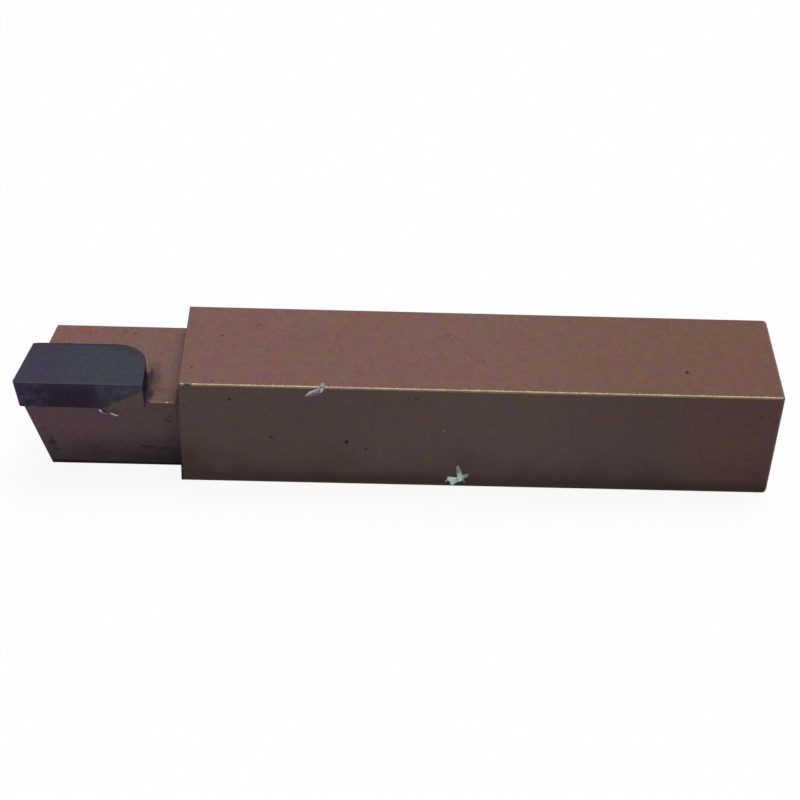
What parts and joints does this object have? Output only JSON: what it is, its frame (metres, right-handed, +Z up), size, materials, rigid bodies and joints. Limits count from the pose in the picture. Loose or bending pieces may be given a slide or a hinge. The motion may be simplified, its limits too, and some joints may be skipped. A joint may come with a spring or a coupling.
{
  "type": "brazed carbide turning tool bit",
  "caption": "Square steel tool shank with a milled neck, and a carbide tip brazed into a pocket at its nose, for turning on a lathe.",
  "frame": {"origin": "centre of the bounding box's base, on the plane the tool lies on", "axes": "+X along the shank towards its butt end, +Y away from the side cutting edge, +Z up out of the shank's top face"},
  "size_m": [0.1524, 0.0254, 0.0254],
  "materials": {
    "painted_steel": "satin",
    "carbide": "satin",
    "braze": "matte"
  },
  "bodies": {
    "root": {"shank": "painted_steel", "carbide_tip": "carbide", "braze_layer": "braze"}
  },
  "joints": []
}
